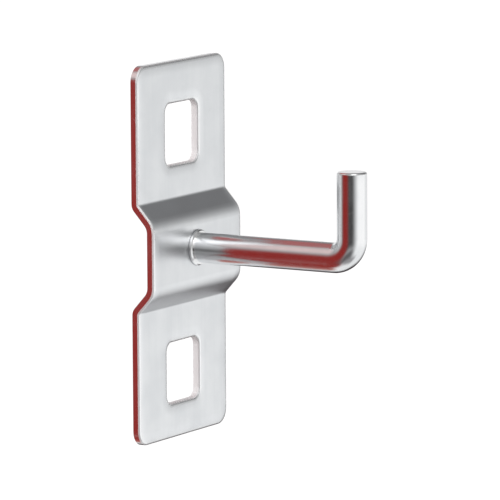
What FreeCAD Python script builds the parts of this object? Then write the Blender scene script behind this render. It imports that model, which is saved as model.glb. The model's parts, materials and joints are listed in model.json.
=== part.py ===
"""Pegboard hook: a folded sheet-steel back plate with a bent bar riveted into its raised crown.

Millimetres and degrees. The wall plane is Y = 0 and the hook reaches along -Y, +Z is up and X runs
across the plate. The origin is the middle of the two square slots, on the wall plane.
"""
import FreeCAD, Part
import math
import os
import Sketcher
from FreeCAD import Placement, Vector

# Driving dimensions, each written once
SIZES = {
    # folded strip
    "plate_width": 27.0,
    "sheet_gauge": 1.25,
    "top_margin": 11.6,        # upper slot's centre to the top end
    "bottom_margin": 10.4,     # lower slot's centre to the bottom end
    "corner_radius": 2.5,
    # raised crown between the two flanges
    "crown_depth": 2.8,        # wall plane to the crown's back face
    "crown_flat": 8.5,         # height of the crown's flat middle
    "crown_rise": 0.3,         # crown's middle above the slots' middle
    "fold_angle": 42.0,
    "shoulder_bend": 1.9,      # inside radius beside the crown, on the wall side
    "foot_bend": 0.6,          # inside radius at the flanges, on the front
    # blanked openings and edges
    "slot_pitch": 38.0,
    "slot_width": 9.8,
    "slot_height": 9.8,
    "slot_corner": 1.5,
    "front_roll": 0.3,         # rounding that the blanking punch leaves on the front edges
    "back_break": 0.12,        # deburred edge on the wall side
    # bent bar
    "bar_diameter": 4.8,
    "arm_rise": 0.9,           # arm's axis above the slots' middle
    "arm_reach": 32.0,         # wall plane to the axis of the upright
    "upright_rise": 13.7,      # arm's axis to the tip
    "bar_bend": 3.2,           # radius of the bar's bend at its axis
    "tip_round": 0.35,
    # riveted root
    "collar_diameter": 5.7,
    "collar_thickness": 0.6,
    "collar_break": 0.2,
    "neck_diameter": 4.0,
    "neck_clearance": 0.05,    # radial, between the neck and its hole
    "head_diameter": 6.8,
    "head_rim": 0.4,           # straight edge of the peened head
    "head_height": 1.5,
}

# A sketch's own origin and axes, as its constraints number them
SKETCH_ORIGIN = (-1, 1)
SKETCH_HORIZONTAL = -1
SKETCH_VERTICAL = -2

# Two places nearer than this, in millimetres, are the same place
TOLERANCE = 1e-4

doc = FreeCAD.newDocument("pegboard_hook")
sheet = doc.addObject("Spreadsheet::Sheet", "sizes")
for row, (alias, value) in enumerate(SIZES.items(), start=1):
    sheet.set(f"A{row}", alias)
    sheet.set(f"B{row}", str(value))
    sheet.setAlias(f"B{row}", alias)
doc.recompute()


def size(alias):
    """Value of one driving dimension, read back from the sheet."""
    return float(sheet.get(alias))


def cells(formula):
    """Turn the aliases in a formula into references to the sheet."""
    return " ".join(f"{sheet.Name}.{word}" if word in SIZES else word for word in formula.split())


def origin_plane(body, role):
    return next(item for item in body.Origin.OriginFeatures if item.Role == role)


def new_sketch(body, name, role, **offsets):
    """Sketch on one of the body's own origin planes, moved by formulas along the sketch's own axes."""
    sketch = body.newObject("Sketcher::SketchObject", name)
    sketch.AttachmentSupport = [(origin_plane(body, role), "")]
    sketch.MapMode = "FlatFace"
    for axis, formula in offsets.items():
        sketch.setExpression(f"AttachmentOffset.Base.{axis}", cells(formula))
    return sketch


def constrain(sketch, kind, *where, name="", formula=""):
    """Add one constraint. With a name and a formula, its value follows the sheet."""
    index = sketch.addConstraint(Sketcher.Constraint(kind, *where))
    if name:
        sketch.renameConstraint(index, name)
        sketch.setExpression(f"Constraints.{name}", cells(formula))


def add_line(sketch, start, end):
    return sketch.addGeometry(Part.LineSegment(start, end), False)


def add_arc(sketch, start, end, centre):
    """Arc of less than half a turn. Returns its index and which end lies at start."""
    radius = (start - centre).Length
    through = centre + ((start + end) / 2 - centre).normalize() * radius
    index = sketch.addGeometry(Part.Arc(start, through, end), False)
    return index, 1 if (sketch.getPoint(index, 1) - start).Length < TOLERANCE else 2


def smooth_chain(sketch, steps, closed=False):
    """Lines and arcs that run on tangent to one another.

    A step is (start, end) for a line, or (start, end, centre) for an arc. Returns the indices.
    """
    made = []
    for step in steps:
        if len(step) == 2:
            made.append((add_line(sketch, *step), 1))
        else:
            made.append(add_arc(sketch, *step))
    joints = list(zip(made, made[1:])) + ([(made[-1], made[0])] if closed else [])
    for (before, start_before), (after, start_after) in joints:
        constrain(sketch, "Tangent", before, 3 - start_before, after, start_after)
    return [index for index, _ in made]


def ease_edges(body, kind, name, choose, alias):
    """Fillet or chamfer the edges that choose picks from the body's current tip, by a size of the sheet."""
    base = body.Tip
    chosen = choose(base.Shape)
    names = [f"Edge{number}" for number, edge in enumerate(base.Shape.Edges, start=1)
             if any(edge.isSame(other) for other in chosen)]
    eased = body.newObject(f"PartDesign::{kind}", name)
    eased.Base = (base, names)
    measure = {"Fillet": "Radius", "Chamfer": "Size"}[kind]
    setattr(eased, measure, size(alias))
    eased.setExpression(measure, cells(alias))
    doc.recompute()
    return eased


def pocket_through(body, name, sketch):
    """Cut a sketch right through the body, to both sides of its plane."""
    before = body.Shape.Volume
    pocket = body.newObject("PartDesign::Pocket", name)
    pocket.Profile = sketch
    pocket.Type = "ThroughAll"
    pocket.SideType = "Symmetric"
    doc.recompute()
    if not body.Shape.Volume < before:
        raise RuntimeError(f"{name} removed nothing")
    return pocket


def sweep(body, name, profile, path):
    pipe = body.newObject("PartDesign::AdditivePipe", name)
    pipe.Profile = profile
    pipe.Spine = (path, [f"Edge{number}" for number in range(1, path.GeometryCount + 1)])
    doc.recompute()
    return pipe


def fold_line(body):
    """Back face of the folded strip in side view, from the top end to the bottom end."""
    angle = math.radians(size("fold_angle"))
    inner = size("shoulder_bend")
    outer = size("foot_bend") + size("sheet_gauge")
    depth = size("crown_depth")
    half_flat = size("crown_flat") / 2
    middle = size("crown_rise")
    top = size("slot_pitch") / 2 + size("top_margin")
    bottom = size("slot_pitch") / 2 + size("bottom_margin")

    # the upper half, measured from the crown's middle, outwards from the crown to the flange
    uphill = Vector(math.sin(angle), math.cos(angle), 0)
    outward = Vector(-math.cos(angle), math.sin(angle), 0)
    slope_length = (depth - (inner + outer) * (1 - math.cos(angle))) / math.sin(angle)
    crown_end = Vector(-depth, half_flat, 0)
    crown_centre = crown_end + Vector(inner, 0, 0)
    slope_low = crown_centre + outward * inner
    slope_high = slope_low + uphill * slope_length
    flange_centre = slope_high + outward * outer
    flange_end = flange_centre + Vector(outer, 0, 0)

    def above(point):
        return Vector(point.x, middle + point.y, 0)

    def below(point):
        return Vector(point.x, middle - point.y, 0)

    sketch = new_sketch(body, "fold_line", "YZ_Plane")
    (upper, upper_fold, high_slope, high_shoulder, crown,
     low_shoulder, low_slope, lower_fold, lower) = smooth_chain(sketch, [
         (Vector(0, top, 0), above(flange_end)),
         (above(flange_end), above(slope_high), above(flange_centre)),
         (above(slope_high), above(slope_low)),
         (above(slope_low), above(crown_end), above(crown_centre)),
         (above(crown_end), below(crown_end)),
         (below(crown_end), below(slope_low), below(crown_centre)),
         (below(slope_low), below(slope_high)),
         (below(slope_high), below(flange_end), below(flange_centre)),
         (below(flange_end), Vector(0, -bottom, 0)),
     ])
    for straight in (upper, crown, lower):
        constrain(sketch, "Vertical", straight)
    constrain(sketch, "PointOnObject", upper, 1, SKETCH_VERTICAL)
    constrain(sketch, "PointOnObject", lower, 2, SKETCH_VERTICAL)
    constrain(sketch, "Equal", upper_fold, lower_fold)
    constrain(sketch, "Equal", high_shoulder, low_shoulder)
    constrain(sketch, "Radius", upper_fold, outer, name="foot", formula="foot_bend + sheet_gauge")
    constrain(sketch, "Radius", high_shoulder, inner, name="shoulder", formula="shoulder_bend")
    constrain(sketch, "Angle", upper, 2, high_slope, 1, math.pi - angle, name="high_angle",
              formula="180 - fold_angle")
    constrain(sketch, "Angle", low_slope, 2, lower, 1, math.pi - angle, name="low_angle",
              formula="180 - fold_angle")
    constrain(sketch, "DistanceX", crown, 1, *SKETCH_ORIGIN, depth, name="depth", formula="crown_depth")
    constrain(sketch, "DistanceY", crown, 2, crown, 1, 2 * half_flat, name="flat", formula="crown_flat")
    constrain(sketch, "DistanceY", *SKETCH_ORIGIN, crown, 1, middle + half_flat, name="crown_top",
              formula="crown_rise + crown_flat / 2")
    constrain(sketch, "DistanceY", *SKETCH_ORIGIN, upper, 1, top, name="top",
              formula="slot_pitch / 2 + top_margin")
    constrain(sketch, "DistanceY", lower, 2, *SKETCH_ORIGIN, bottom, name="bottom",
              formula="slot_pitch / 2 + bottom_margin")
    return sketch


def strip_section(body):
    """Cross-section of the strip at its top end: its width by its gauge, with the wall face on Y = 0."""
    half_width = size("plate_width") / 2
    gauge = size("sheet_gauge")
    sketch = new_sketch(body, "strip_section", "XY_Plane", z="slot_pitch / 2 + top_margin")
    corners = [Vector(-half_width, 0, 0), Vector(half_width, 0, 0),
               Vector(half_width, -gauge, 0), Vector(-half_width, -gauge, 0)]
    back, right, front, left = [add_line(sketch, a, b) for a, b in zip(corners, corners[1:] + corners[:1])]
    for before, after in ((back, right), (right, front), (front, left), (left, back)):
        constrain(sketch, "Coincident", before, 2, after, 1)
    constrain(sketch, "Horizontal", back)
    constrain(sketch, "Horizontal", front)
    constrain(sketch, "Vertical", right)
    constrain(sketch, "Symmetric", back, 1, back, 2, *SKETCH_ORIGIN)
    constrain(sketch, "DistanceX", back, 1, back, 2, 2 * half_width, name="width", formula="plate_width")
    constrain(sketch, "DistanceY", right, 2, right, 1, gauge, name="gauge", formula="sheet_gauge")
    return sketch


def slot_outline(body):
    """Upper slot: a square with rounded corners, centred half a pitch above the origin."""
    half_width = size("slot_width") / 2
    half_height = size("slot_height") / 2
    corner = size("slot_corner")
    middle = size("slot_pitch") / 2
    x, y = half_width, half_height
    inset_x, inset_y = half_width - corner, half_height - corner

    def at(right, up):
        return Vector(right, middle + up, 0)

    sketch = new_sketch(body, "slot_outline", "XZ_Plane")
    (head, corner_a, right, corner_b, sill, corner_c, left, corner_d) = smooth_chain(sketch, [
        (at(-inset_x, y), at(inset_x, y)),
        (at(inset_x, y), at(x, inset_y), at(inset_x, inset_y)),
        (at(x, inset_y), at(x, -inset_y)),
        (at(x, -inset_y), at(inset_x, -y), at(inset_x, -inset_y)),
        (at(inset_x, -y), at(-inset_x, -y)),
        (at(-inset_x, -y), at(-x, -inset_y), at(-inset_x, -inset_y)),
        (at(-x, -inset_y), at(-x, inset_y)),
        (at(-x, inset_y), at(-inset_x, y), at(-inset_x, inset_y)),
    ], closed=True)
    for level in (head, sill):
        constrain(sketch, "Horizontal", level)
    for upright in (left, right):
        constrain(sketch, "Vertical", upright)
    for other in (corner_b, corner_c, corner_d):
        constrain(sketch, "Equal", corner_a, other)
    constrain(sketch, "Radius", corner_a, corner, name="corner", formula="slot_corner")
    constrain(sketch, "DistanceX", left, 1, right, 1, 2 * half_width, name="width", formula="slot_width")
    constrain(sketch, "DistanceY", sill, 1, head, 1, 2 * half_height, name="height", formula="slot_height")
    constrain(sketch, "DistanceX", *SKETCH_ORIGIN, right, 1, half_width, name="right",
              formula="slot_width / 2")
    constrain(sketch, "DistanceY", *SKETCH_ORIGIN, head, 1, middle + half_height, name="head",
              formula="slot_pitch / 2 + slot_height / 2")
    return sketch


def circle_outline(sketch, radius, formula):
    """Circle about the sketch's own origin."""
    ring = sketch.addGeometry(Part.Circle(Vector(), Vector(0, 0, 1), radius), False)
    constrain(sketch, "Coincident", ring, 3, *SKETCH_ORIGIN)
    constrain(sketch, "Radius", ring, radius, name="radius", formula=formula)
    return sketch


def is_ring(edge):
    """True for a whole circle."""
    return not edge.Degenerated and isinstance(edge.Curve, Part.Circle) and edge.isClosed()


def ring_at(shape, place, radius):
    """The circular edge of a given radius whose centre is at place."""
    return [edge for edge in shape.Edges
            if is_ring(edge) and (edge.Curve.Center - place).Length < TOLERANCE
            and abs(edge.Curve.Radius - radius) < TOLERANCE]


def skin_edges(shape, facing):
    """Edges where the cut walls of the sheet meet its front (facing -1) or its back (facing 1).

    The bar's hole is left out: its edges are closed by the collar and the head.
    """
    met = []
    for face in shape.Faces:
        middle = [sum(pair) / 2 for pair in (face.ParameterRange[:2], face.ParameterRange[2:])]
        if face.normalAt(*middle).y * facing > TOLERANCE:
            met += face.Edges
    return [edge for edge in met
            if sum(edge.isSame(other) for other in met) == 1 and not is_ring(edge)]


def plate_corners(shape):
    """The four short edges through the sheet at the corners of its outline."""
    side = size("plate_width") / 2
    top = size("slot_pitch") / 2 + size("top_margin")
    bottom = -size("slot_pitch") / 2 - size("bottom_margin")
    places = [Vector(x, -size("sheet_gauge") / 2, z) for x in (-side, side) for z in (bottom, top)]
    return [edge for edge in shape.Edges
            if any((edge.CenterOfMass - place).Length < TOLERANCE for place in places)]


def make_back_plate():
    """Strip swept along its fold line, then pierced, trimmed round and eased along its cut edges."""
    body = doc.addObject("PartDesign::Body", "back_plate")
    body.Label = "back_plate"
    doc.recompute()
    path = fold_line(body)
    section = strip_section(body)
    doc.recompute()
    sweep(body, "folded_strip", section, path)

    slot = pocket_through(body, "upper_slot", slot_outline(body))
    pierced_once = body.Shape.Volume
    lower = body.newObject("PartDesign::Mirrored", "lower_slot")
    lower.Originals = [slot]
    lower.MirrorPlane = (origin_plane(body, "XY_Plane"), [""])
    body.Tip = lower
    doc.recompute()
    if not body.Shape.Volume < pierced_once:
        raise RuntimeError("the lower slot removed nothing")

    hole = circle_outline(new_sketch(body, "bar_hole", "XZ_Plane", y="arm_rise"),
                          size("neck_diameter") / 2 + size("neck_clearance"),
                          "neck_diameter / 2 + neck_clearance")
    pocket_through(body, "bar_opening", hole)

    ease_edges(body, "Fillet", "plate_corners", plate_corners, "corner_radius")
    ease_edges(body, "Fillet", "front_edges", lambda shape: skin_edges(shape, -1), "front_roll")
    ease_edges(body, "Chamfer", "back_edges", lambda shape: skin_edges(shape, 1), "back_break")
    return body


def root_profile(body):
    """Half section of the collar, the neck in its hole and the domed head, about the arm's axis."""
    back = -size("crown_depth")
    front = back - size("sheet_gauge")
    collar_front = front - size("collar_thickness")
    rim = back + size("head_rim")
    crest = back + size("head_height")
    collar = size("collar_diameter") / 2
    neck = size("neck_diameter") / 2
    head = size("head_diameter") / 2

    sketch = new_sketch(body, "root_profile", "YZ_Plane", y="arm_rise")
    corners = [(collar_front, 0), (collar_front, collar), (front, collar), (front, neck),
               (back, neck), (back, head), (rim, head)]
    corners = [Vector(across, up, 0) for across, up in corners]
    lines = [add_line(sketch, a, b) for a, b in zip(corners, corners[1:])]
    face, edge, seat, shank, bearing, side = lines
    for before, after in zip(lines, lines[1:]):
        constrain(sketch, "Coincident", before, 2, after, 1)
    for upright in (face, seat, bearing):
        constrain(sketch, "Vertical", upright)
    for level in (edge, shank, side):
        constrain(sketch, "Horizontal", level)

    # dome: an arc centred on the axis through the rim's corner and the crest
    height = crest - rim
    dome_radius = (head ** 2 + height ** 2) / (2 * height)
    dome_centre = Vector(crest - dome_radius, 0, 0)
    dome, dome_start = add_arc(sketch, corners[-1], Vector(crest, 0, 0), dome_centre)
    constrain(sketch, "Coincident", side, 2, dome, dome_start)
    constrain(sketch, "PointOnObject", dome, 3 - dome_start, SKETCH_HORIZONTAL)
    constrain(sketch, "PointOnObject", dome, 3, SKETCH_HORIZONTAL)
    axis = add_line(sketch, Vector(crest, 0, 0), corners[0])
    constrain(sketch, "Coincident", dome, 3 - dome_start, axis, 1)
    constrain(sketch, "Coincident", axis, 2, face, 1)
    constrain(sketch, "Horizontal", axis)

    constrain(sketch, "DistanceX", seat, 1, *SKETCH_ORIGIN, -front, name="seat",
              formula="crown_depth + sheet_gauge")
    constrain(sketch, "DistanceX", bearing, 1, *SKETCH_ORIGIN, -back, name="bearing", formula="crown_depth")
    constrain(sketch, "DistanceX", face, 2, seat, 1, front - collar_front, name="collar_thickness",
              formula="collar_thickness")
    constrain(sketch, "DistanceX", bearing, 2, side, 2, rim - back, name="head_rim", formula="head_rim")
    constrain(sketch, "DistanceX", bearing, 2, axis, 1, crest - back, name="head_height",
              formula="head_height")
    for part, radius, name in ((face, collar, "collar"), (shank, neck, "neck"), (bearing, head, "head")):
        constrain(sketch, "DistanceY", *SKETCH_ORIGIN, part, 2, radius, name=name,
                  formula=f"{name}_diameter / 2")
    return sketch


def bar_line(body):
    """Axis of the bar: straight out from the crown, round the bend and up to the tip."""
    start = -size("crown_depth") - size("sheet_gauge")
    reach = -size("arm_reach")
    bend = size("bar_bend")
    rise = size("upright_rise")
    sketch = new_sketch(body, "bar_line", "YZ_Plane", y="arm_rise")
    arm, turn, upright = smooth_chain(sketch, [
        (Vector(start, 0, 0), Vector(reach + bend, 0, 0)),
        (Vector(reach + bend, 0, 0), Vector(reach, bend, 0), Vector(reach + bend, bend, 0)),
        (Vector(reach, bend, 0), Vector(reach, rise, 0)),
    ])
    constrain(sketch, "PointOnObject", arm, 1, SKETCH_HORIZONTAL)
    constrain(sketch, "Horizontal", arm)
    constrain(sketch, "Vertical", upright)
    constrain(sketch, "Radius", turn, bend, name="bend", formula="bar_bend")
    constrain(sketch, "DistanceX", arm, 1, *SKETCH_ORIGIN, -start, name="start",
              formula="crown_depth + sheet_gauge")
    constrain(sketch, "DistanceX", upright, 2, *SKETCH_ORIGIN, -reach, name="reach", formula="arm_reach")
    constrain(sketch, "DistanceY", *SKETCH_ORIGIN, upright, 2, rise, name="rise", formula="upright_rise")
    return sketch


def make_hook_rod():
    """Riveted root turned about the arm's axis, the bar swept along its line, and the ends eased."""
    body = doc.addObject("PartDesign::Body", "hook_rod")
    body.Label = "hook_rod"
    doc.recompute()
    profile = root_profile(body)
    doc.recompute()
    root = body.newObject("PartDesign::Revolution", "riveted_root")
    root.Profile = profile
    root.ReferenceAxis = (profile, ["H_Axis"])
    root.Angle = 360
    doc.recompute()

    section = circle_outline(
        new_sketch(body, "bar_section", "XZ_Plane", y="arm_rise", z="crown_depth + sheet_gauge"),
        size("bar_diameter") / 2, "bar_diameter / 2")
    path = bar_line(body)
    doc.recompute()
    sweep(body, "bent_bar", section, path)

    axis_height = size("arm_rise")
    tip = Vector(0, -size("arm_reach"), axis_height + size("upright_rise"))
    collar_front = -size("crown_depth") - size("sheet_gauge") - size("collar_thickness")
    collar = Vector(0, collar_front, axis_height)
    ease_edges(body, "Fillet", "tip_edge", lambda shape: ring_at(shape, tip, size("bar_diameter") / 2),
               "tip_round")
    ease_edges(body, "Chamfer", "collar_edge",
               lambda shape: ring_at(shape, collar, size("collar_diameter") / 2), "collar_break")
    return body


def check(bodies):
    """Stop if anything in the document failed or a piece has no sound solid."""
    for item in doc.Objects:
        if "Invalid" in item.State or "Error" in item.State:
            raise RuntimeError(f"{item.Name}: {item.State}")
    for body in bodies:
        if body.Shape.isNull() or not body.Shape.isValid() or len(body.Shape.Solids) != 1:
            raise RuntimeError(f"{body.Label} is not one sound solid")


bodies = [make_back_plate(), make_hook_rod()]
doc.recompute()
check(bodies)

os.makedirs("parts", exist_ok=True)
for body in bodies:
    body.Placement = Placement()
    body.Shape.exportStep(f"parts/{body.Label}.step")
    box = body.Shape.BoundBox
    print(f"{body.Label}: {box.XLength:.2f} x {box.YLength:.2f} x {box.ZLength:.2f} mm, "
          f"{body.Shape.Volume:.1f} mm3")
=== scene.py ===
"""Studio picture of a panel hook: a folded, zinc-plated back plate with a bent steel bar riveted through it.

Metres, in the part's own frame: the wall plane is y = 0, the hook reaches along -y and z is up. The two steel
pieces keep their modelled shape. This script gives them their plated finish, and sets up the light, the floor
and the camera.
"""

import json
import logging
import math
from dataclasses import dataclass
from enum import Enum

import bpy
from mathutils import Matrix, Vector

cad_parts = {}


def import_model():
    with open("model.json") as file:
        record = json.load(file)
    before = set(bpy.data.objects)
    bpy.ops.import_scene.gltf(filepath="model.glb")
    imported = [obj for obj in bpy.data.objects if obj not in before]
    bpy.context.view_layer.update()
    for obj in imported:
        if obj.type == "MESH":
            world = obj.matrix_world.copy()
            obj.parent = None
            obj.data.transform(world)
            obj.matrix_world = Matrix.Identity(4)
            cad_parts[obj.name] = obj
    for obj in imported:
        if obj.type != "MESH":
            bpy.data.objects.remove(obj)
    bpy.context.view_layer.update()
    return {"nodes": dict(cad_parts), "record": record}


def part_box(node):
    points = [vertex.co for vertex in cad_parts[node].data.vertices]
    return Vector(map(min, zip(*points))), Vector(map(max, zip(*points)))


log = logging.getLogger("panel_hook")

PHOTO_SIDE = 500    # pixels along each side of the photograph
MICRON = 1e-6
WHITE = (1.0, 1.0, 1.0)

Colour = tuple[float, float, float]
Socket = bpy.types.NodeSocket
Feed = float | tuple[float, ...] | Socket


def opaque(colour: Colour) -> tuple[float, float, float, float]:
    """Colour with a full alpha, as colour sockets take it."""
    return (*colour, 1.0)


def direction(azimuth: float, elevation: float) -> Vector:
    """Unit vector from two angles in radians. At azimuth 0 it points straight out from the plate's front."""
    level = math.cos(elevation)
    return Vector((math.sin(azimuth) * level, -math.cos(azimuth) * level, math.sin(elevation)))


class Graph:
    """A node tree that is written one node at a time."""

    def __init__(self, tree: bpy.types.NodeTree) -> None:
        """Empty the tree and take it over."""
        tree.nodes.clear()
        self.tree = tree

    def feed(self, socket: Socket, value: Feed) -> None:
        """Link a socket to an input, or set the input's own value.

        Args:
            socket: The input.
            value: What it gets, an output of another node or a plain value.
        """
        if isinstance(value, Socket):
            self.tree.links.new(value, socket)
        else:
            socket.default_value = value

    def node(self, kind: str, inputs: dict[str | int, Feed] | None = None,
             **settings: object) -> bpy.types.Node:
        """Add a node.

        Args:
            kind: Type of the node, without its leading "ShaderNode".
            inputs: What its inputs get, by their name or number.
            settings: Options of the node, such as its operation.

        Returns:
            The new node.
        """
        made = self.tree.nodes.new(f"ShaderNode{kind}")
        for option, setting in settings.items():
            setattr(made, option, setting)
        for key, value in (inputs or {}).items():
            self.feed(made.inputs[key], value)
        return made

    def math(self, operation: str, *terms: Feed) -> Socket:
        """Result of a Math node on up to three terms."""
        return self.node("Math", dict(enumerate(terms)), operation=operation).outputs[0]

    def vector(self, operation: str, *terms: Feed) -> Socket:
        """Vector result of a Vector Math node."""
        return self.node("VectorMath", dict(enumerate(terms)), operation=operation).outputs["Vector"]

    def step(self, value: Feed, low: Feed, high: Feed, start: float = 0.0, end: float = 1.0) -> Socket:
        """Smooth step of value: start below low and end above high."""
        made = self.node("MapRange", {"Value": value, "From Min": low, "From Max": high, "To Min": start,
                                      "To Max": end}, interpolation_type="SMOOTHSTEP")
        return made.outputs[0]

    def spread(self, value: Feed, low: float, high: float) -> Socket:
        """Stretch a 0 to 1 value evenly over low to high."""
        return self.node("MapRange", {"Value": value, "To Min": low, "To Max": high}).outputs[0]

    def blend(self, share: Feed, first: Feed, second: Feed) -> Socket:
        """Colour that goes from first to second as share goes from 0 to 1."""
        made = self.node("Mix", {"Factor": share, 6: first, 7: second}, data_type="RGBA")
        return made.outputs[2]

    def noise(self, place: Feed, scale: float, detail: float = 2.0, roughness: float = 0.5) -> Socket:
        """Noise between 0 and 1, with features of about one over scale."""
        made = self.node("TexNoise", {"Vector": place, "Scale": scale, "Detail": detail,
                                      "Roughness": roughness})
        return made.outputs["Fac"]

    def split(self, vector: Feed) -> tuple[Socket, Socket, Socket]:
        """The three parts of a vector."""
        made = self.node("SeparateXYZ", {"Vector": vector})
        return made.outputs[0], made.outputs[1], made.outputs[2]

    def joined(self, x: Feed, y: Feed, z: Feed) -> Socket:
        """Vector from three parts."""
        return self.node("CombineXYZ", {"X": x, "Y": y, "Z": z}).outputs[0]

    def counted(self, vector: Feed, size: Feed) -> Socket:
        """Vector measured in steps of a size."""
        return self.vector("DIVIDE", vector, self.joined(size, size, size))

    def use(self, effect: "Effect", **inputs: Feed) -> dict[str, Socket]:
        """Place an effect's group here.

        Args:
            effect: The effect, whose group is built at its first use.
            inputs: Its inputs, with their spaces written as underscores.

        Returns:
            Its outputs by name.
        """
        made = self.tree.nodes.new("ShaderNodeGroup")
        made.node_tree = effect.group()
        for name, value in inputs.items():
            self.feed(made.inputs[name.replace("_", " ")], value)
        return {socket.name: socket for socket in made.outputs}


class Effect:
    """A shader node group with named inputs and outputs, built once and placed wherever it is needed."""

    name = ""
    inputs: dict[str, str] = {}
    outputs: tuple[str, ...] = ()

    def group(self) -> bpy.types.ShaderNodeTree:
        """Build the group if it isn't there yet.

        Returns:
            The group.
        """
        ready = bpy.data.node_groups.get(self.name)
        if ready is not None:
            return ready
        tree = bpy.data.node_groups.new(self.name, "ShaderNodeTree")
        for label, kind in self.inputs.items():
            tree.interface.new_socket(name=label, in_out="INPUT", socket_type=f"NodeSocket{kind}")
        for label in self.outputs:
            tree.interface.new_socket(name=label, in_out="OUTPUT", socket_type="NodeSocketFloat")
        graph = Graph(tree)
        entry = tree.nodes.new("NodeGroupInput")
        results = self.build(graph, {socket.name: socket for socket in entry.outputs})
        leave = tree.nodes.new("NodeGroupOutput")
        for label, value in zip(self.outputs, results):
            graph.feed(leave.inputs[label], value)
        return tree

    def build(self, graph: Graph, given: dict[str, Socket]) -> tuple[Feed, ...]:
        """Write the group's nodes.

        Args:
            graph: The group's tree.
            given: The group's inputs by name.

        Returns:
            What each output gets, in their order.
        """
        raise NotImplementedError


class WindowDistance(Effect):
    """How far a point lies outside a rounded rectangle; less than nothing inside it."""

    name = "window_distance"
    inputs = {"Across": "Float", "Up": "Float", "Half Width": "Float", "Half Height": "Float",
              "Corner": "Float"}
    outputs = ("Distance",)

    def build(self, graph: Graph, given: dict[str, Socket]) -> tuple[Feed, ...]:
        """Write the distance to the rectangle shrunk by its corner radius, less that radius.

        Args:
            graph: The group's tree.
            given: The group's inputs by name.

        Returns:
            The distance.
        """
        beyond = []
        for place, half in (("Across", "Half Width"), ("Up", "Half Height")):
            inset = graph.math("SUBTRACT", given[half], given["Corner"])
            beyond.append(graph.math("SUBTRACT", graph.math("ABSOLUTE", given[place]), inset))
        outside = [graph.math("MAXIMUM", part, 0.0) for part in beyond]
        squares = [graph.math("MULTIPLY", part, part) for part in outside]
        reach = graph.math("SQRT", graph.math("ADD", *squares))
        inside = graph.math("MINIMUM", graph.math("MAXIMUM", *beyond), 0.0)
        return (graph.math("SUBTRACT", graph.math("ADD", reach, inside), given["Corner"]),)


class RunningGrain(Effect):
    """Fine lines that run along the third direction of a vector, as rolling or drawing leaves them."""

    name = "running_grain"
    inputs = {"Vector": "Vector", "Pitch": "Float", "Length": "Float"}
    outputs = ("Streak", "Height")
    streaks_per_pitch = 0.35

    def build(self, graph: Graph, given: dict[str, Socket]) -> tuple[Feed, ...]:
        """Write broad streaks, and finer lines at the pitch.

        Args:
            graph: The group's tree.
            given: The group's inputs by name.

        Returns:
            The streaks, and the height of streaks and lines in equal parts.
        """
        stretch = graph.joined(given["Pitch"], given["Pitch"], given["Length"])
        lines = graph.vector("DIVIDE", given["Vector"], stretch)
        broad = graph.noise(lines, self.streaks_per_pitch, detail=1.0)
        fine = graph.noise(lines, 1.0, detail=3.0, roughness=0.6)
        halves = [graph.math("MULTIPLY", part, 0.5) for part in (broad, fine)]
        return broad, graph.math("ADD", *halves)


class PlatingBloom(Effect):
    """Soft clouding and fine frosting of an electroplated surface."""

    name = "plating_bloom"
    inputs = {"Vector": "Vector", "Cloud Size": "Float", "Frost Size": "Float"}
    outputs = ("Cloud", "Frost")
    cloud_edge = (0.3, 0.7)    # share of the noise that counts as clear plate, and as full cloud

    def build(self, graph: Graph, given: dict[str, Socket]) -> tuple[Feed, ...]:
        """Write the clouds, with their contrast raised, and the frosting's small round pits.

        Args:
            graph: The group's tree.
            given: The group's inputs by name.

        Returns:
            The clouds and the frosting.
        """
        clouds = graph.counted(given["Vector"], given["Cloud Size"])
        clouds = graph.noise(clouds, 1.0, detail=3.0, roughness=0.55)
        frost = graph.counted(given["Vector"], given["Frost Size"])
        frost = graph.noise(frost, 1.0, detail=2.0, roughness=0.7)
        return graph.step(clouds, *self.cloud_edge), frost


class EdgeBurnish(Effect):
    """Band beside an edge that tumbling and handling have rubbed bright, with a broken inner border."""

    name = "edge_burnish"
    inputs = {"Vector": "Vector", "Distance": "Float", "Reach": "Float"}
    outputs = ("Rubbed",)
    breaks_per_metre = 1100.0
    full_share = 0.35    # part of the reach that is rubbed in full, before the noise shifts it

    def build(self, graph: Graph, given: dict[str, Socket]) -> tuple[Feed, ...]:
        """Write the fade with the distance from the edge, shifted to and fro by noise.

        Args:
            graph: The group's tree.
            given: The group's inputs by name.

        Returns:
            How fully the surface is rubbed.
        """
        ragged = graph.noise(given["Vector"], self.breaks_per_metre, detail=3.0, roughness=0.6)
        shift = graph.math("MULTIPLY", graph.math("SUBTRACT", ragged, 0.5), given["Reach"])
        distance = graph.math("ADD", given["Distance"], shift)
        near = graph.math("MULTIPLY", given["Reach"], self.full_share)
        return (graph.step(distance, near, given["Reach"], 1.0, 0.0),)


class Hairlines(Effect):
    """Sparse fine scratches from handling."""

    name = "hairlines"
    inputs = {"Vector": "Vector", "Spacing": "Float"}
    outputs = ("Scratch",)
    lines_per_spacing = 0.7
    line_width = 0.006             # part of the noise's range, to each side of its middle
    spots_per_spacing = 2.3
    spots_place = (7.3, 2.1, 5.7)  # far from the lines' own noise
    spots_edge = (0.55, 0.68)      # share of the noise that counts as unmarked, and as scratched

    def build(self, graph: Graph, given: dict[str, Socket]) -> tuple[Feed, ...]:
        """Write thin level lines of slow noise, kept only in scattered spots.

        Args:
            graph: The group's tree.
            given: The group's inputs by name.

        Returns:
            Where the scratches are.
        """
        place = graph.counted(given["Vector"], given["Spacing"])
        level = graph.noise(place, self.lines_per_spacing, detail=0.0)
        offset = graph.math("ABSOLUTE", graph.math("SUBTRACT", level, 0.5))
        line = graph.step(offset, 0.0, self.line_width, 1.0, 0.0)
        spots = graph.vector("ADD", place, self.spots_place)
        spots = graph.noise(spots, self.spots_per_spacing, detail=1.0)
        return (graph.math("MULTIPLY", line, graph.step(spots, *self.spots_edge)),)


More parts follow.
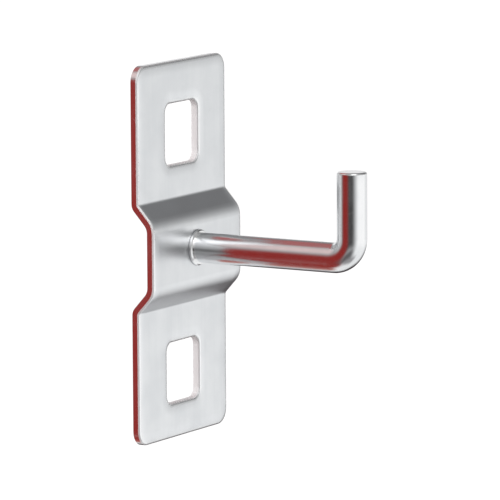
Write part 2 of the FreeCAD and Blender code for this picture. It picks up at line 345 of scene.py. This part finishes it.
class BarPath(Effect):
    """Coordinates that follow the bent bar: across it, out from its bend's centre line, and along it."""

    name = "bar_path"
    inputs = {"Position": "Vector", "Bend Y": "Float", "Bend Z": "Float", "Bend Radius": "Float"}
    outputs = ("Across", "Out", "Along")

    def build(self, graph: Graph, given: dict[str, Socket]) -> tuple[Feed, ...]:
        """Write the straight runs, which meet the bend on the two lines through its centre.

        Args:
            graph: The group's tree.
            given: The group's inputs by name.

        Returns:
            The three coordinates.
        """
        across, y, z = graph.split(given["Position"])
        from_y = graph.math("SUBTRACT", y, given["Bend Y"])
        from_z = graph.math("SUBTRACT", z, given["Bend Z"])
        bend_y = graph.math("MULTIPLY", graph.math("MINIMUM", from_y, 0.0), -1.0)
        bend_z = graph.math("MULTIPLY", graph.math("MINIMUM", from_z, 0.0), -1.0)
        squares = [graph.math("MULTIPLY", part, part) for part in (bend_y, bend_z)]
        radius = graph.math("SQRT", graph.math("ADD", *squares))
        turned = graph.math("MULTIPLY", graph.math("ARCTAN2", bend_y, bend_z), given["Bend Radius"])
        arm = graph.math("MAXIMUM", from_y, 0.0)
        upright = graph.math("MAXIMUM", from_z, 0.0)
        along = graph.math("SUBTRACT", graph.math("ADD", upright, turned), arm)
        return across, graph.math("SUBTRACT", radius, given["Bend Radius"]), along


class CardShare(Effect):
    """How fully a direction falls on a soft-edged card, given as angles."""

    name = "card_share"
    inputs = {"Azimuth": "Float", "Elevation": "Float", "Card Azimuth": "Float", "Card Elevation": "Float",
              "Half Width": "Float", "Half Height": "Float", "Soft Width": "Float", "Soft Height": "Float"}
    outputs = ("Share",)

    def build(self, graph: Graph, given: dict[str, Socket]) -> tuple[Feed, ...]:
        """Write the product of a smooth step across the card and one up it.

        Args:
            graph: The group's tree.
            given: The group's inputs by name.

        Returns:
            The share.
        """
        turn = graph.math("SUBTRACT", given["Azimuth"], given["Card Azimuth"])
        aside = graph.math("ABSOLUTE", graph.math("WRAP", turn, math.pi, -math.pi))
        above = graph.math("ABSOLUTE", graph.math("SUBTRACT", given["Elevation"], given["Card Elevation"]))
        shares = []
        for offset, name in ((aside, "Width"), (above, "Height")):
            half, soft = given[f"Half {name}"], given[f"Soft {name}"]
            inner, outer = graph.math("SUBTRACT", half, soft), graph.math("ADD", half, soft)
            shares.append(graph.step(offset, inner, outer, 1.0, 0.0))
        return (graph.math("MULTIPLY", *shares),)


@dataclass(frozen=True)
class ZincFinish:
    """Bright zinc plate on steel, with the marks of how the steel under it was made, and painted shade where
    the collar meets the plate.

    Lengths are in metres. The depths are those of the relief that the light catches.
    """

    name: str
    tint: Colour
    clouded: Colour
    rubbed: Colour
    # dark colour of dull places, also used as painted shade where the collar meets the plate
    dull_and_shade: Colour
    roughness: float
    rubbed_roughness: float
    grain_pitch: float
    grain_length: float
    grain_depth: float
    cloud_size: float
    frost_size: float
    frost_depth: float
    scratch_spacing: float
    scratch_depth: float
    burnish_reach: float
    torn: Colour = (0.93, 0.93, 0.935)                # of a wall that broke away under a punch
    cloud_tone: float = 0.7                           # how far clouds turn the tint to the clouded colour
    streak_tone: tuple[float, float] = (-0.1, 0.4)    # how far the least and the strongest streak do
    roughness_swing: float = 0.03                     # what clouds, and streaks, add or take
    scratched_roughness: float = 0.08                 # what these add: scratches,
    dulled_roughness: float = 0.18                    # dull places
    torn_roughness: float = 0.35                      # and torn walls

    def material(self, position: "Placer") -> bpy.types.Material:
        """Build the material.

        Args:
            position: Tells where each point lies on the piece.

        Returns:
            The material, with its colour, roughness and relief all varying over the surface.
        """
        made = bpy.data.materials.new(self.name)
        made.use_nodes = True
        graph = Graph(made.node_tree)
        place = graph.node("TexCoord").outputs["Object"]
        where = position.write(graph, place)

        grain = graph.use(RunningGrain(), Vector=where.grain, Pitch=self.grain_pitch,
                          Length=self.grain_length)
        bloom = graph.use(PlatingBloom(), Vector=place, Cloud_Size=self.cloud_size,
                          Frost_Size=self.frost_size)
        lines = graph.use(Hairlines(), Vector=where.grain, Spacing=self.scratch_spacing)
        edge = graph.use(EdgeBurnish(), Vector=place, Distance=where.edge, Reach=self.burnish_reach)

        tone = graph.math("ADD", graph.spread(bloom["Cloud"], 0.0, self.cloud_tone),
                          graph.spread(grain["Streak"], *self.streak_tone))
        colour = graph.blend(tone, opaque(self.tint), opaque(self.clouded))
        colour = graph.blend(edge["Rubbed"], colour, opaque(self.rubbed))
        # dull places, and the painted shade at the collar, take the dark colour
        colour = graph.blend(where.dull_and_shade, colour, opaque(self.dull_and_shade))

        rough = self.roughness
        for share, least, most in (
            (bloom["Cloud"], -self.roughness_swing, self.roughness_swing),
            (grain["Streak"], -self.roughness_swing, self.roughness_swing),
            (lines["Scratch"], 0.0, self.scratched_roughness),
            (edge["Rubbed"], 0.0, self.rubbed_roughness - self.roughness),
            (where.dull_and_shade, 0.0, self.dulled_roughness),
        ):
            rough = graph.math("ADD", rough, graph.spread(share, least, most))

        metallic = 1.0
        if where.torn is not None:
            colour = graph.blend(where.torn, colour, opaque(self.torn))
            rough = graph.math("ADD", rough, graph.spread(where.torn, 0.0, self.torn_roughness))
            metallic = graph.spread(where.torn, 1.0, 0.0)

        height = graph.math("MULTIPLY", grain["Height"], self.grain_depth)
        height = graph.math("ADD", height, graph.math("MULTIPLY", bloom["Frost"], self.frost_depth))
        height = graph.math("SUBTRACT", height, graph.math("MULTIPLY", lines["Scratch"], self.scratch_depth))
        height = graph.math("ADD", height, where.relief)
        bump = graph.node("Bump", {"Height": height, "Strength": 1.0, "Distance": 1.0})

        surface = graph.node("BsdfPrincipled", {"Base Color": colour, "Roughness": rough,
                                                "Metallic": metallic, "Normal": bump.outputs["Normal"]})
        graph.node("OutputMaterial", {"Surface": surface.outputs["BSDF"]})
        return made


@dataclass(frozen=True)
class Placement:
    """What a finish needs to know of a point on its piece."""

    grain: Socket            # vector whose third direction the grain runs along
    edge: Socket             # distance to the nearest rubbed edge
    dull_and_shade: Socket           # how dull the surface is, and how dark its painted shade
    torn: Socket | None      # how far it is a matt wall that broke away under a punch, where there is one
    relief: Socket           # height of the forms that are the piece's own


class Placer:
    """Writes the nodes that tell where a point lies on one piece."""

    def write(self, graph: Graph, place: Socket) -> Placement:
        """Write the nodes.

        Args:
            graph: The material's tree.
            place: The point in the part's frame.

        Returns:
            The sockets that the finish reads.
        """
        raise NotImplementedError


class Finish(Enum):
    """The two plated finishes of the hook."""

    SHEET = ZincFinish(
        name="zinc_on_sheet",
        tint=(0.83, 0.84, 0.85), clouded=(0.77, 0.785, 0.80), rubbed=(0.90, 0.905, 0.91),
        dull_and_shade=(0.46, 0.47, 0.48),
        roughness=0.32, rubbed_roughness=0.22,
        grain_pitch=0.00018, grain_length=0.006, grain_depth=0.9 * MICRON,
        cloud_size=0.006, frost_size=0.00011, frost_depth=0.55 * MICRON,
        scratch_spacing=0.009, scratch_depth=0.9 * MICRON,
        burnish_reach=0.0007,
    )
    BAR = ZincFinish(
        name="zinc_on_bar",
        tint=(0.86, 0.865, 0.87), clouded=(0.80, 0.81, 0.82), rubbed=(0.92, 0.92, 0.92),
        dull_and_shade=(0.42, 0.42, 0.43),
        roughness=0.19, rubbed_roughness=0.15,
        grain_pitch=0.00016, grain_length=0.005, grain_depth=0.7 * MICRON,
        cloud_size=0.004, frost_size=0.00013, frost_depth=0.4 * MICRON,
        scratch_spacing=0.006, scratch_depth=0.8 * MICRON,
        burnish_reach=0.0005,
    )


@dataclass
class BackPlate(Placer):
    """Folded strip with two square slots, whose middle is raised to a crown that carries the bar.

    "Facing" is the y of the surface's normal: -1 where it looks out from the wall, 0 on a cut wall and 1
    where it looks at the wall. A pair of values gives where something begins to fade and where it ends.
    """

    node: bpy.types.Object
    lowest: Vector
    highest: Vector
    arm_height: float
    corner: float = 0.0025
    slot_side: float = 0.0098
    slot_pitch: float = 0.038
    slot_corner: float = 0.0015
    crown_middle: float = 0.0003
    fold_start: float = 0.00425       # from the crown's middle to where its shoulders begin
    fold_end: float = 0.0088          # from the crown's middle to where the flanges lie flat
    fold_fade: float = 0.0006         # to each side of both
    peel_per_metre: float = 1500.0    # roughening of the strained folds
    peel_stretch: tuple[float, float, float] = (0.45, 1.0, 1.0)
    peel_depth: float = 3.5 * MICRON
    collar_radius: float = 0.00285
    seat_shade_width: float = 0.00018       # painted shade: dark, dull ring around the collar
    seat_shade_strength: float = 0.6
    roll_width: float = 0.002         # where the cut has drawn the front face down towards an edge
    roll_depth: float = 200 * MICRON
    lip_width: float = 0.0007         # where it is drawn down most
    lip_depth: float = 110 * MICRON
    back_facing: tuple[float, float] = (0.02, 0.2)
    rounding_in: tuple[float, float] = (-0.98, -0.9)       # facing where the front edge's rounding begins
    rounding_out: tuple[float, float] = (-0.25, -0.1)      # facing where it ends
    rounding_width: tuple[float, float] = (0.0003, 0.0005)
    rounding_matt: float = 0.5                             # how matt the cut leaves it
    wall_depth: tuple[float, float] = (0.00002, 0.00008)   # from a slot's wall to sound metal
    wall_matt: float = 0.9

    def write(self, graph: Graph, place: Socket) -> Placement:
        """Write the grain up the strip, its edges, the painted shade at the collar's seat, folds, drawn-down
        rims and torn walls.

        Args:
            graph: The material's tree.
            place: The point in the part's frame.

        Returns:
            The sockets that the finish reads.
        """
        across, _, up = graph.split(place)
        _, facing, _ = graph.split(graph.node("TexCoord").outputs["Normal"])
        half_width = (self.highest.x - self.lowest.x) / 2
        half_height = (self.highest.z - self.lowest.z) / 2
        middle = (self.highest.z + self.lowest.z) / 2
        outline = graph.use(WindowDistance(), Across=across, Up=graph.math("SUBTRACT", up, middle),
                            Half_Width=half_width, Half_Height=half_height, Corner=self.corner)
        from_slot = graph.math("SUBTRACT", graph.math("ABSOLUTE", up), self.slot_pitch / 2)
        slot = graph.use(WindowDistance(), Across=across, Up=from_slot, Half_Width=self.slot_side / 2,
                         Half_Height=self.slot_side / 2, Corner=self.slot_corner)
        inwards = graph.math("MULTIPLY", outline["Distance"], -1.0)
        edge = graph.math("MINIMUM", inwards, slot["Distance"])
        relief = self.draw_down(graph, self.folds(graph, place, up), edge, facing)
        # the collar's seat gets painted shade
        return Placement(grain=place, edge=edge, dull_and_shade=self.seat_shade(graph, across, up),
                         torn=self.torn_walls(graph, edge, slot["Distance"], facing), relief=relief)

    def seat_shade(self, graph: Graph, across: Socket, up: Socket) -> Socket:
        """Write the ring of painted shade, dark and dull, around where the collar sits.

        Args:
            graph: The material's tree.
            across: The point's place across the strip.
            up: Its place up the strip.

        Returns:
            How dark and dull the ring of painted shade is.
        """
        over = graph.math("SUBTRACT", up, self.arm_height)
        squares = [graph.math("MULTIPLY", part, part) for part in (across, over)]
        from_arm = graph.math("SQRT", graph.math("ADD", *squares))
        return graph.step(from_arm, self.collar_radius, self.collar_radius + self.seat_shade_width,
                          self.seat_shade_strength, 0.0)

    def folds(self, graph: Graph, place: Socket, up: Socket) -> Socket:
        """Write the roughening that folding leaves in the strained metal.

        Args:
            graph: The material's tree.
            place: The point in the part's frame.
            up: Its place up the strip.

        Returns:
            Its height.
        """
        from_crown = graph.math("ABSOLUTE", graph.math("SUBTRACT", up, self.crown_middle))
        rise = graph.step(from_crown, self.fold_start - self.fold_fade, self.fold_start + self.fold_fade)
        end = graph.step(from_crown, self.fold_end - self.fold_fade, self.fold_end + self.fold_fade, 1.0, 0.0)
        strained = graph.math("MULTIPLY", rise, end)
        peel = graph.noise(graph.vector("MULTIPLY", place, self.peel_stretch), self.peel_per_metre,
                           detail=3.0, roughness=0.6)
        return graph.math("MULTIPLY", graph.math("MULTIPLY", strained, peel), self.peel_depth)

    def draw_down(self, graph: Graph, relief: Socket, edge: Socket, facing: Socket) -> Socket:
        """Draw the front face down towards the cut edges, and run on level over the walls and the back.

        Args:
            graph: The material's tree.
            relief: Height without it.
            edge: Distance to the nearest cut edge.
            facing: The y of the normal.

        Returns:
            The height with it.
        """
        behind = graph.step(facing, *self.back_facing)
        for width, depth in ((self.roll_width, self.roll_depth), (self.lip_width, self.lip_depth)):
            near = graph.spread(graph.math("DIVIDE", edge, width), 1.0, 0.0)
            near = graph.math("MAXIMUM", near, behind)
            fall = graph.math("MULTIPLY", graph.math("MULTIPLY", near, near), depth)
            relief = graph.math("SUBTRACT", relief, fall)
        return relief

    def torn_walls(self, graph: Graph, edge: Socket, slot: Socket, facing: Socket) -> Socket:
        """Write where punching has left the metal matt: the slots' walls, and the front edges' rounding.

        Args:
            graph: The material's tree.
            edge: Distance to the nearest cut edge.
            slot: Distance to the nearest slot.
            facing: The y of the normal.

        Returns:
            How matt it is.
        """
        rounding = graph.math("MULTIPLY", graph.step(facing, *self.rounding_out, self.rounding_matt, 0.0),
                              graph.step(facing, *self.rounding_in))
        beside = graph.step(edge, *self.rounding_width, 1.0, 0.0)
        rounding = graph.math("MULTIPLY", rounding, beside)
        return graph.math("MAXIMUM", rounding, graph.step(slot, *self.wall_depth, self.wall_matt, 0.0))

    def dress(self) -> None:
        """Give the plate its finish."""
        self.node.material_slots[0].material = Finish.SHEET.value.material(self)
        log.info("%s: %s", self.node.name, Finish.SHEET.value.name)


@dataclass
class HookRod(Placer):
    """Round bar: arm, bend and upright, with a collar in front of the plate and a peened head behind it.

    A pair of values gives where something begins to fade and where it ends.
    """

    node: bpy.types.Object
    arm_height: float
    upright_y: float
    tip: float
    bend_radius: float = 0.0032       # at the bar's axis
    collar_front: float = -0.00465
    collar_seat: float = -0.00405
    crevice_shade_width: float = 0.0002     # painted shade: dark line where the collar meets the plate
    crevice_shade_strength: float = 0.8
    cut_end: tuple[float, float] = (0.00002, 0.00008)         # below the tip
    cut_end_dullness: float = 0.12
    head: tuple[float, float] = (-0.0028, -0.0027)            # the bar's end is peened behind the plate
    head_dullness: float = 0.3
    blow_size: float = 0.0011
    blow_depth: float = 45 * MICRON
    die_mark_reach: tuple[float, float] = (0.004, 0.0095)     # from the bend's middle, along the bar
    die_marks_per_metre: float = 420.0
    die_mark_stretch: tuple[float, float, float] = (1.0, 1.0, 0.55)
    die_mark_depth: float = 22 * MICRON

    def write(self, graph: Graph, place: Socket) -> Placement:
        """Write the grain along the bar, its rims, its dull places with the painted crevice shade, and its
        die marks and dents.

        Args:
            graph: The material's tree.
            place: The point in the part's frame.

        Returns:
            The sockets that the finish reads.
        """
        path = graph.use(BarPath(), Position=place, Bend_Y=self.upright_y + self.bend_radius,
                         Bend_Z=self.arm_height + self.bend_radius, Bend_Radius=self.bend_radius)
        grain = graph.joined(path["Across"], path["Out"], path["Along"])
        _, y, z = graph.split(place)
        below_tip = graph.math("SUBTRACT", self.tip, z)
        from_collar = graph.math("ABSOLUTE", graph.math("SUBTRACT", y, self.collar_front))
        edge = graph.math("MINIMUM", below_tip, from_collar)
        peened = graph.step(y, *self.head)
        relief = graph.math("ADD", self.die_marks(graph, grain, path["Along"]),
                            self.dents(graph, place, peened))
        return Placement(grain=grain, edge=edge, dull_and_shade=self.dull_and_shaded_places(graph, y, below_tip, peened),
                         torn=None, relief=relief)

    def dull_and_shaded_places(self, graph: Graph, y: Socket, below_tip: Socket, peened: Socket) -> Socket:
        """Write the dull sawn end, the painted shade in the crevice under the collar and the dull peened
        head.

        Args:
            graph: The material's tree.
            y: The point's y.
            below_tip: Its distance below the bar's end.
            peened: How fully it lies on the head.

        Returns:
            How dull it is, and how dark its painted shade.
        """
        cut_end = graph.step(below_tip, *self.cut_end, self.cut_end_dullness, 0.0)
        out = graph.math("SUBTRACT", self.collar_seat, y)
        # painted shade: the crevice where the collar meets the plate is darkened
        crevice_shade = graph.step(out, 0.0, self.crevice_shade_width, self.crevice_shade_strength, 0.0)
        crevice_shade = graph.math("MULTIPLY", crevice_shade, graph.math("LESS_THAN", y, self.collar_seat))
        dull_and_shade = graph.math("MAXIMUM", cut_end, crevice_shade)
        return graph.math("MAXIMUM", dull_and_shade, graph.math("MULTIPLY", peened, self.head_dullness))

    def die_marks(self, graph: Graph, grain: Socket, along: Socket) -> Socket:
        """Write the uneven rubs that the bending die leaves around the bend.

        Args:
            graph: The material's tree.
            grain: The point's coordinates that follow the bar.
            along: The last of these.

        Returns:
            Their height.
        """
        from_bend = graph.math("ABSOLUTE", graph.math("SUBTRACT", along, self.bend_radius * math.pi / 4))
        near_bend = graph.step(from_bend, *self.die_mark_reach, 1.0, 0.0)
        rubs = graph.noise(graph.vector("MULTIPLY", grain, self.die_mark_stretch), self.die_marks_per_metre)
        return graph.math("MULTIPLY", graph.math("MULTIPLY", near_bend, rubs), self.die_mark_depth)

    def dents(self, graph: Graph, place: Socket, peened: Socket) -> Socket:
        """Write the hammer's dents on the head.

        Args:
            graph: The material's tree.
            place: The point in the part's frame.
            peened: How fully it lies on the head.

        Returns:
            Their height.
        """
        blows = graph.node("TexVoronoi", {"Vector": place, "Scale": 1.0 / self.blow_size},
                           feature="SMOOTH_F1")
        struck = graph.math("MULTIPLY", blows.outputs["Distance"], peened)
        return graph.math("MULTIPLY", struck, self.blow_depth)

    def dress(self) -> None:
        """Give the bar its finish."""
        self.node.material_slots[0].material = Finish.BAR.value.material(self)
        log.info("%s: %s", self.node.name, Finish.BAR.value.name)


@dataclass(frozen=True)
class Card:
    """A soft-edged card of the studio, as the hook sees it from its own place.

    Angles are in degrees. Azimuth 0 is straight out from the plate's front and 90 is to its right.
    """

    azimuth: float
    elevation: float
    half_width: float
    half_height: float
    soft_width: float
    soft_height: float
    colour: Colour

    def angles(self) -> dict[str, float]:
        """List its place and size.

        Returns:
            The angles in radians, by the names of the card effect's inputs.
        """
        degrees = {"Card_Azimuth": self.azimuth, "Card_Elevation": self.elevation,
                   "Half_Width": self.half_width, "Half_Height": self.half_height,
                   "Soft_Width": self.soft_width, "Soft_Height": self.soft_height}
        return {name: math.radians(angle) for name, angle in degrees.items()}


@dataclass(frozen=True)
class Surround:
    """The room around the hook: pale, and darker overhead, with cards that give the metal its contrasts."""

    tint: Colour = (0.985, 0.995, 1.0)
    heights: tuple[tuple[float, float], ...] = (    # elevation in degrees, and brightness there
        (-90, 0.93), (-40, 0.98), (-10, 1.02), (-8, 0.92), (-5, 0.81), (-1, 0.72), (5, 0.57), (12, 0.46),
        (20, 0.41), (90, 0.41),
    )
    cards: tuple[Card, ...] = (
        Card(160, 52, 35, 16, 8, 8, (0.42, 0.14, 0.14)),          # behind, high: dusky red
        Card(-175, -60, 30, 12, 10, 8, (0.44, 0.16, 0.14)),       # behind, low: dusky red
        Card(140, 8, 38, 18, 9, 9, (0.90, 0.90, 0.91)),           # behind on the right: pale
        Card(-140, 42, 22, 14, 8, 10, (0.78, 0.62, 0.61)),        # behind on the left, high: pale pink
        Card(-92, -11, 53, 13, 23, 9, (0.04, 0.038, 0.038)),      # left: black
        Card(-115, -26, 23, 44, 13, 12, (0.29, 0.027, 0.024)),    # left: red
        Card(-148, -50, 26, 14, 9, 9, (0.30, 0.035, 0.03)),       # behind on the left, low: red
        Card(-70, -43, 33, 18, 20, 9, (0.12, 0.117, 0.12)),       # left, below: dark
        Card(-46, 38, 24, 20, 12, 10, (1.0, 1.0, 1.01)),          # in front on the left, high: white
        Card(-40, -62, 42, 12, 14, 8, (0.32, 0.31, 0.32)),        # in front on the left, low: grey
        Card(111, -36, 32, 22, 20, 9, (0.04, 0.028, 0.033)),      # right, low: black
        Card(91, 44, 37, 25, 9, 11, (0.148, 0.148, 0.153)),       # right, high: dark
        Card(16, -8, 34, 14, 10, 8, (1.10, 1.10, 1.10)),          # in front: white
    )

    def build(self) -> None:
        """Make the world: white to the camera, and the surround to everything else."""
        world = bpy.data.worlds.new("studio")
        bpy.context.scene.world = world
        world.use_nodes = True
        graph = Graph(world.node_tree)
        x, y, z = graph.split(graph.node("TexCoord").outputs["Generated"])
        azimuth = graph.math("ARCTAN2", x, graph.math("MULTIPLY", y, -1.0))
        elevation = graph.math("ARCSINE", z)
        height = graph.math("DIVIDE", graph.math("ADD", elevation, math.pi / 2), math.pi)
        ramp = graph.node("ValToRGB", {"Fac": height})
        for _ in self.heights[2:]:
            ramp.color_ramp.elements.new(0.5)
        for stop, (degrees, brightness) in zip(ramp.color_ramp.elements, self.heights):
            stop.position = (degrees + 90) / 180
            stop.color = opaque(tuple(part * brightness for part in self.tint))
        colour = ramp.outputs["Color"]
        for card in self.cards:
            share = graph.use(CardShare(), Azimuth=azimuth, Elevation=elevation, **card.angles())
            colour = graph.blend(share["Share"], colour, opaque(card.colour))
        room = graph.node("Background", {"Color": colour, "Strength": 1.0})
        white = graph.node("Background", {"Color": opaque(WHITE), "Strength": 1.0})
        seen = graph.node("LightPath").outputs["Is Camera Ray"]
        shown = graph.node("MixShader", {0: seen, 1: room.outputs[0], 2: white.outputs[0]})
        graph.node("OutputWorld", {"Surface": shown.outputs[0]})


@dataclass(frozen=True)
class Floor:
    """Plain pale floor some way below the hook. It takes the hook's shadow and is white elsewhere."""

    drop: float = 0.12
    side: float = 8.0
    albedo: float = 0.35
    lift: float = 0.92    # white that the camera sees besides the light that falls on the floor

    def build(self, lowest: float) -> None:
        """Lay the floor.

        Args:
            lowest: Height of the hook's lowest point.
        """
        bpy.ops.object.select_all(action="DESELECT")
        bpy.ops.mesh.primitive_plane_add(size=self.side, location=(0.0, 0.0, lowest - self.drop))
        floor = bpy.context.active_object
        floor.name = "floor"
        floor.visible_glossy = False
        material = bpy.data.materials.new("pale_floor")
        material.use_nodes = True
        graph = Graph(material.node_tree)
        lit = graph.node("BsdfDiffuse", {"Color": opaque((self.albedo,) * 3)})
        seen = graph.node("LightPath").outputs["Is Camera Ray"]
        white = graph.node("Emission", {"Color": opaque(WHITE),
                                        "Strength": graph.math("MULTIPLY", seen, self.lift)})
        both = graph.node("AddShader", {0: lit.outputs[0], 1: white.outputs[0]})
        graph.node("OutputMaterial", {"Surface": both.outputs[0]})
        floor.data.materials.append(material)


@dataclass(frozen=True)
class Softbox:
    """Square soft lamp aimed at the hook. Angles are in degrees, as for a card."""

    name: str = "softbox"
    azimuth: float = -38.0
    elevation: float = 51.0
    distance: float = 0.9
    side: float = 0.5
    brightness: float = 0.95    # as the camera would see its face, where 1 is white
    mirrored: bool = True       # whether bright metal shows it; a lamp with polarised light isn't shown

    def build(self, target: Vector) -> None:
        """Hang the lamp.

        Args:
            target: Where it points.
        """
        towards = direction(math.radians(self.azimuth), math.radians(self.elevation))
        data = bpy.data.lights.new(self.name, "AREA")
        data.shape = "SQUARE"
        data.size = self.side
        data.energy = self.brightness * math.pi * self.side ** 2
        lamp = bpy.data.objects.new(self.name, data)
        lamp.visible_glossy = self.mirrored
        bpy.context.scene.collection.objects.link(lamp)
        lamp.location = target + towards * self.distance
        lamp.rotation_mode = "QUATERNION"
        lamp.rotation_quaternion = (-towards).to_track_quat("-Z", "Y")


@dataclass(frozen=True)
class PhotoView:
    """Where the photograph was taken from, as found from the hook's edges in it.

    Angles are in degrees. The offsets move the picture, in metres at the aim's distance.
    """

    azimuth: float = -59.64
    elevation: float = 8.09
    roll: float = -0.30
    distance: float = 0.83045
    offset_right: float = -0.01175
    offset_up: float = 0.00071
    pixels_per_metre: float = 6310.0
    sensor: float = 36.0    # millimetres

    def build(self, aim: Vector) -> None:
        """Set up the camera.

        Args:
            aim: The point that it looks at, before the offsets.
        """
        turn, tilt, roll = (math.radians(angle) for angle in (self.azimuth, self.elevation, self.roll))
        back = direction(turn, tilt)
        level = Vector((math.cos(turn), math.sin(turn), 0.0))
        upright = back.cross(level)
        right = level * math.cos(roll) + upright * math.sin(roll)
        up = upright * math.cos(roll) - level * math.sin(roll)
        data = bpy.data.cameras.new("camera")
        data.sensor_width = self.sensor
        data.lens = self.pixels_per_metre * self.distance * self.sensor / PHOTO_SIDE
        data.clip_start, data.clip_end = 0.01, 20.0
        data.dof.use_dof = False
        camera = bpy.data.objects.new("camera", data)
        bpy.context.scene.collection.objects.link(camera)
        eye = aim + back * self.distance - right * self.offset_right - up * self.offset_up
        camera.matrix_world = Matrix.Translation(eye) @ Matrix((right, up, back)).transposed().to_4x4()
        bpy.context.scene.camera = camera


def mount_place(record: dict, name: str) -> Vector:
    """Place of one of the part's mounts."""
    return Vector(next(mount["pos_m"] for mount in record["mounts"] if mount["name"] == name))


def main() -> None:
    """Load the hook, read its sizes, dress its pieces and build the studio."""
    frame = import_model()
    bpy.context.scene.view_settings.view_transform = "Standard"

    rod_low, rod_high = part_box("hook_rod")
    upright = mount_place(frame["record"], "hook_upright")
    arm_top = mount_place(frame["record"], "hook_arm")
    radius = upright.y - rod_low.y
    arm_height = arm_top.z - radius
    plate_low, plate_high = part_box("back_plate")
    BackPlate(node=frame["nodes"]["back_plate"], lowest=plate_low, highest=plate_high,
              arm_height=arm_height).dress()
    HookRod(node=frame["nodes"]["hook_rod"], arm_height=arm_height, upright_y=upright.y,
            tip=rod_high.z).dress()

    Surround().build()
    Floor().build(plate_low.z)
    fill = Softbox("fill", azimuth=-105.0, elevation=12.0, brightness=5.5, mirrored=False)
    for lamp in (Softbox(), fill):
        lamp.build(Vector((0.0, 0.0, 0.0)))
    PhotoView().build(Vector((0.0, 0.0, arm_height)))


if __name__ == "__main__":
    logging.basicConfig(level=logging.INFO, format="%(name)s: %(message)s")
    main()
